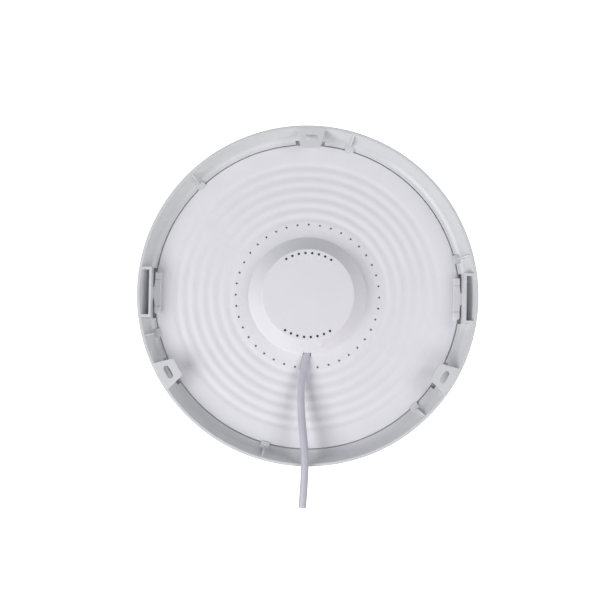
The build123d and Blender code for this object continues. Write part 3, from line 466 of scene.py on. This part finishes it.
# Mains lead: a round two-core lead in soft lilac-grey PVC. It leaves through the slot at the raised middle's
# foot, rises to rest on the ring's lip, droops a little past it and ends in a flush cut that shows its cores.
CORD_R, CORD_END_ROUND, CORD_END_SOFT = 3.4, 0.25, 0.07
CORE_OFFSET, CORE_R, WIRE_R = 1.5, 1.1, 0.62
CORE_BLUE, CORE_BROWN, COPPER = (0.02, 0.06, 0.26), (0.10, 0.035, 0.012), (0.62, 0.30, 0.16)
lilac_sheath = dict(colour=(0.57, 0.555, 0.62), shade=(0.54, 0.525, 0.59), roughness=0.4,
                    spot_mm=12.0, grain_mm=0.8)
cord_route = np.array([
    (0.7, -49.7, -16.9), (-2.4, -64.0, -12.5), (-5.0, -80.0, -8.6), (-4.6, -97.0, -5.0), (-3.4, -113.0, -1.9),
    (-1.6, -128.0, 1.3), (-0.6, -142.0, 3.9), (-0.6, -156.0, 3.9), (-1.2, -171.0, 2.3), (-2.0, -185.5, -0.3),
])


def smooth_line(route):
    """Points along the NURBS line that has the route's points, in millimetres, as its control points."""
    curve = bpy.data.curves.new("route", "CURVE")
    curve.dimensions = "3D"
    spline = curve.splines.new("NURBS")
    spline.points.add(len(route) - 1)
    spline.points.foreach_set("co", np.column_stack([route * 0.001, np.ones(len(route))]).ravel())
    spline.order_u = 3
    spline.use_endpoint_u = True
    spline.resolution_u = 12
    holder = bpy.data.objects.new("route", curve)
    bpy.context.scene.collection.objects.link(holder)
    return taken_apart(holder)[0]


def tube(line, radius, count):
    """A round section carried along a line, kept level, its far end rounded over and both ends closed."""
    along = np.gradient(line, axis=0)
    along /= np.linalg.norm(along, axis=1)[:, None]
    side = np.cross(along, (0, 0, 1))
    side /= np.linalg.norm(side, axis=1)[:, None]
    up = np.cross(side, along)
    turn = np.linspace(0, 2 * np.pi, count, endpoint=False)[None, :, None]
    ring = np.cos(turn) * side[:, None, :] + np.sin(turn) * up[:, None, :]
    inset = np.array([0.0, CORD_END_SOFT, CORD_END_ROUND])[:, None, None]
    end = line[-1] - inset[::-1] * along[-1] + (radius - inset) * ring[-1]
    body = np.concatenate([line[:-1, None, :] + radius * ring[:-1], end])
    rows, step = len(body), np.arange(count)
    after = (step + 1) % count
    last_row = (rows - 1) * count
    first = np.stack([np.full(count, rows * count), step, after], -1)
    last = np.stack([np.full(count, rows * count + 1), last_row + after, last_row + step], -1)
    faces = [*grid_quads(rows, count, False, True), *first, *last]
    return np.vstack([body.reshape(-1, 3), line[:1], line[-1:]]), faces


cord_line = smooth_line(cord_route)
cord = put_piece("mains_lead", *tube(cord_line, CORD_R, count=40), sharp_degrees=50.0)
lead_lilac = finish("lead_lilac", **lilac_sheath)
lead_nodes, lead_links = lead_lilac.node_tree.nodes, lead_lilac.node_tree.links
painted = lead_nodes["tone"].outputs["Color"]
end_side = np.cross(cord_line[-1] - cord_line[-2], (0, 0, 1))
end_side /= np.linalg.norm(end_side)
for side, insulation in ((-1, CORE_BLUE), (1, CORE_BROWN)):
    for reach, tint in ((CORE_R, insulation), (WIRE_R, COPPER)):
        distance = lead_nodes.new("ShaderNodeVectorMath")
        distance.operation = "DISTANCE"
        distance.inputs[1].default_value = (cord_line[-1] + side * CORE_OFFSET * end_side) * 0.001
        within = lead_nodes.new("ShaderNodeMath")
        within.operation = "LESS_THAN"
        within.inputs[1].default_value = reach * 0.001
        core = lead_nodes.new("ShaderNodeMixRGB")
        core.inputs["Color2"].default_value = (*tint, 1)
        lead_links.new(lead_nodes["where"].outputs["Object"], distance.inputs[0])
        lead_links.new(distance.outputs["Value"], within.inputs[0])
        lead_links.new(within.outputs["Value"], core.inputs["Fac"])
        lead_links.new(painted, core.inputs["Color1"])
        painted = core.outputs["Color"]
lead_links.new(painted, lead_nodes["Principled BSDF"].inputs["Base Color"])
cord.data.materials.append(lead_lilac)
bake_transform(cord)
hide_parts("cord")


# Inner end of the lead: the sheath goes on under a black nylon clamp with two screws, so that a pull on the
# lead stops there, and its brown and blue cores part and run to the terminal.
def dressed(surface, *names):
    """Puts a surface on carried-over solids whose shape is already right."""
    for name in names:
        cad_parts[name].material_slots[0].material = surface


zinc_steel = finish("zinc_steel", (0.62, 0.62, 0.63), (0.50, 0.50, 0.52), roughness=0.3,
                    spot_mm=2.5, grain_mm=0.25, depth_mm=0.01, metal=1.0)
core_brown = finish("core_brown", CORE_BROWN, (0.08, 0.028, 0.010), roughness=0.4, spot_mm=6.0, grain_mm=0.5)
core_blue = finish("core_blue", CORE_BLUE, (0.017, 0.05, 0.22), roughness=0.4, spot_mm=6.0, grain_mm=0.5)
clamp_nylon = finish("clamp_nylon", (0.022, 0.022, 0.024), (0.014, 0.014, 0.015), roughness=0.5,
                     spot_mm=5.0, grain_mm=0.4)
dressed(finish("tail_lilac", **lilac_sheath), "cord_tail")
dressed(core_brown, "live_core")
dressed(core_blue, "neutral_core")
dressed(clamp_nylon, "cord_clamp")
dressed(zinc_steel, "cord_clamp_screws")


# Driver: a pale resin board on four bosses in the raised middle, with a green terminal, fuse, filter parts,
# chips, a taped transformer and two sleeved capacitors, all under a white insulating dish on two long screws.
resin_board = finish("resin_board", (0.48, 0.34, 0.12), (0.42, 0.29, 0.10), roughness=0.45,
                     spot_mm=4.0, grain_mm=0.8, depth_mm=0.03)
terminal_green = finish("terminal_green", (0.012, 0.15, 0.045), (0.010, 0.12, 0.037), roughness=0.3,
                        spot_mm=8.0)
fuse_ceramic = finish("fuse_ceramic", (0.58, 0.49, 0.31), (0.52, 0.43, 0.26), roughness=0.25,
                      spot_mm=3.0, grain_mm=0.3)
varistor_lacquer = finish("varistor_lacquer", (0.012, 0.04, 0.24), (0.010, 0.03, 0.19), roughness=0.2,
                          spot_mm=4.0, grain_mm=1.5, depth_mm=0.05)
film_yellow = finish("film_yellow", (0.72, 0.46, 0.014), (0.66, 0.41, 0.012), roughness=0.25, spot_mm=8.0)
grey_ferrite = finish("grey_ferrite", (0.018, 0.018, 0.02), (0.010, 0.010, 0.011), roughness=0.55,
                      spot_mm=2.0, grain_mm=0.3, depth_mm=0.03)
chip_black = finish("chip_black", (0.006, 0.006, 0.007), (0.004, 0.004, 0.005), roughness=0.5,
                    spot_mm=2.0, grain_mm=0.2)
can_sleeve = finish("can_sleeve", (0.008, 0.008, 0.011), (0.005, 0.005, 0.008), roughness=0.2, spot_mm=6.0)
winding_tape = finish("winding_tape", (0.75, 0.51, 0.033), (0.68, 0.45, 0.028), roughness=0.22,
                      spot_mm=5.0, grain_mm=1.0)
dish_white = finish("dish_white", (0.79, 0.79, 0.77), (0.75, 0.75, 0.73), roughness=0.55)
dressed(resin_board, "driver_board")
dressed(terminal_green, "input_terminal")
dressed(fuse_ceramic, "fuse")
dressed(varistor_lacquer, "varistor")
dressed(film_yellow, "film_capacitor")
dressed(grey_ferrite, "choke", "transformer_core")
dressed(chip_black, "bridge_rectifier", "driver_chip", "output_diode")
dressed(can_sleeve, "input_capacitor", "output_capacitor")
dressed(winding_tape, "transformer_winding")
dressed(dish_white, "driver_cover")
dressed(zinc_steel, "driver_board_screws", "driver_cover_screws")


# Light source: a flat ring of aluminium with a white mask, screwed to six bosses under the cover. It carries
# yellow phosphor chips, each under a clear moulded lens, and a white plug with red leads from the driver.
white_mask = finish("white_mask", (0.79, 0.79, 0.76), (0.75, 0.75, 0.72), roughness=0.35,
                    spot_mm=9.0, grain_mm=0.4)
phosphor_yellow = finish("phosphor_yellow", (0.89, 0.66, 0.12), (0.80, 0.57, 0.09), roughness=0.4,
                         spot_mm=0.8, grain_mm=0.2)
lens_clear = finish("lens_clear", (0.92, 0.95, 0.97), (0.90, 0.93, 0.96), roughness=0.07,
                    spot_mm=6.0, grain_mm=2.0, depth_mm=0.01, clear=0.9)
plug_white = finish("plug_white", (0.79, 0.76, 0.67), (0.74, 0.71, 0.62), roughness=0.3, spot_mm=5.0)
lead_red = finish("lead_red", (0.34, 0.008, 0.006), (0.29, 0.006, 0.005), roughness=0.4,
                  spot_mm=6.0, grain_mm=0.5)
dressed(white_mask, "led_board")
dressed(phosphor_yellow, "led_chips")
dressed(lens_clear, "led_lenses")
dressed(plug_white, "led_connector")
dressed(lead_red, "led_leads")
dressed(zinc_steel, "led_board_screws")


# Diffuser: a dish of satin opal acrylic with a crowned front, a large round to its upright wall, and a rim
# that laps the back cover's. Six screws through the cover's rim hold it from behind.
FRONT_Z, CROWN_RISE, CROWN_END_R = -48.5, 3.5, 124.0
DISH_R, DISH_RIM, DISH_WALL, DISH_BASE = 143.0, -15.6, 2.0, (141.5, -45.0)
INNER_BASE, INNER_FRONT_END = (139.6, -43.2), (122.0, -43.95)
DISH_ROUNDS = [13.0, 0.5, 0.5, 11.0]
crown_r = np.linspace(0, CROWN_END_R, 26)
front = np.column_stack([crown_r, FRONT_Z + CROWN_RISE * (crown_r / DISH_R) ** 2])
wall = [front[-1], DISH_BASE, (DISH_R, DISH_RIM), (DISH_R - DISH_WALL, DISH_RIM), INNER_BASE, INNER_FRONT_END]
wall = rounded(wall, DISH_ROUNDS, steps=14)
inner_front = (front + (0, DISH_WALL))[-3::-1]
dish_profile = np.vstack([front[:-1], wall, inner_front])[::-1]
diffuser = put_piece("opal_dish", *revolved(dish_profile, count=240))
opal_white = finish("opal_white", (0.86, 0.86, 0.845), (0.84, 0.84, 0.825), roughness=0.28,
                    spot_mm=40.0, grain_mm=1.2, depth_mm=0.01)
diffuser.data.materials.append(opal_white)
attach(diffuser, "lamp")
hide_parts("diffuser")
dressed(zinc_steel, "diffuser_screws")


# Stage: a wide white floor well below, so that the lamp can drop from its ring and the front can be looked at
# from below. Floor and sky look plain white but give little light: most of it comes from three wide lamps.
FLOOR_HALF, FLOOR_Z = 60000.0, -1300.0
floor_plan = FLOOR_HALF * np.array([(-1, -1), (1, -1), (1, 1), (-1, 1)])
floor = put_piece("white_floor", np.column_stack([floor_plan, np.full(4, FLOOR_Z)]), [(0, 1, 2, 3)])


def lit_for_the_eye(tree, socket, seen, given):
    """Sets a glow's strength to one value where it is looked at, and another where it lights other things."""
    ray = tree.nodes.new("ShaderNodeLightPath")
    strength = tree.nodes.new("ShaderNodeMapRange")
    strength.inputs["To Min"].default_value = given
    strength.inputs["To Max"].default_value = seen
    tree.links.new(ray.outputs["Is Camera Ray"], strength.inputs["Value"])
    tree.links.new(strength.outputs["Result"], socket)


floor_white = bpy.data.materials.new("floor_white")
floor_white.use_nodes = True
floor_paint = floor_white.node_tree.nodes["Principled BSDF"].inputs
floor_paint["Base Color"].default_value = (0.9, 0.9, 0.9, 1)
floor_paint["Roughness"].default_value = 0.9
floor_paint["Emission Color"].default_value = (1, 1, 1, 1)
lit_for_the_eye(floor_white.node_tree, floor_paint["Emission Strength"], seen=1.0, given=0.25)
floor.data.materials.append(floor_white)

world = bpy.data.worlds.new("pale_sky")
world.use_nodes = True
sky = world.node_tree.nodes["Background"].inputs
sky["Color"].default_value = (0.82, 0.91, 1.0, 1)
lit_for_the_eye(world.node_tree, sky["Strength"], seen=1.25, given=0.22)
bpy.context.scene.world = world


def soft_light(name, turn_degrees, width, watts, colour):
    """A wide area light at a fixed reach and rise, in a direction counted from +X, facing the object."""
    reach, height, rise, turn = 1.8, 0.8, math.radians(38.0), math.radians(turn_degrees)
    level = math.cos(rise)
    place = Vector((level * math.cos(turn), level * math.sin(turn), math.sin(rise))) * reach
    lamp = bpy.data.lights.new(name, "AREA")
    lamp.shape = "RECTANGLE"
    lamp.energy = watts
    lamp.size, lamp.size_y = width, height
    lamp.color = colour
    holder = bpy.data.objects.new(name, lamp)
    holder.location = place
    holder.rotation_euler = (-place).to_track_quat("-Z", "Y").to_euler()
    bpy.context.scene.collection.objects.link(holder)


soft_light("left_light", 203.0, width=1.9, watts=26.0, colour=(1.0, 0.985, 0.985))
soft_light("lower_light", 300.0, width=1.5, watts=8.5, colour=(1.0, 0.97, 0.96))
soft_light("right_light", 6.0, width=0.9, watts=9.2, colour=(1.0, 0.97, 0.95))


# Camera: almost straight down onto the back of the light, a little from the lead's side and from the left,
# rolled a degree, with the light's axis just above and to the right of the picture's middle.
IMAGE, AXIS_PX, FOCAL_PX, SENSOR_MM = 608.0, (308.17, 294.92), 1882.1, 36.0
DISTANCE, AIM_Z = 1.65, -0.001
tilt_down, tilt_left, roll = math.radians(3.95), math.radians(1.955), math.radians(1.0)
view_from = Vector((-math.sin(tilt_left), -math.sin(tilt_down), 1.0)).normalized()
up = Matrix.Rotation(roll, 3, view_from) @ Vector((0, 1, 0))
right = up.cross(view_from).normalized()
up = view_from.cross(right).normalized()
per_px = DISTANCE / FOCAL_PX
off_right, off_down = (AXIS_PX[0] - IMAGE / 2) * per_px, (AXIS_PX[1] - IMAGE / 2) * per_px
aim = Vector((0, 0, AIM_Z)) - right * off_right + up * off_down
camera_data = bpy.data.cameras.new("camera")
camera_data.sensor_width = SENSOR_MM
camera_data.lens = SENSOR_MM * FOCAL_PX / IMAGE
camera = bpy.data.objects.new("camera", camera_data)
turn_to = Matrix((right, up, view_from)).transposed().to_4x4()
camera.matrix_world = Matrix.Translation(aim + view_from * DISTANCE) @ turn_to
bpy.context.scene.collection.objects.link(camera)
bpy.context.scene.camera = camera
bpy.context.scene.view_settings.view_transform = "Standard"
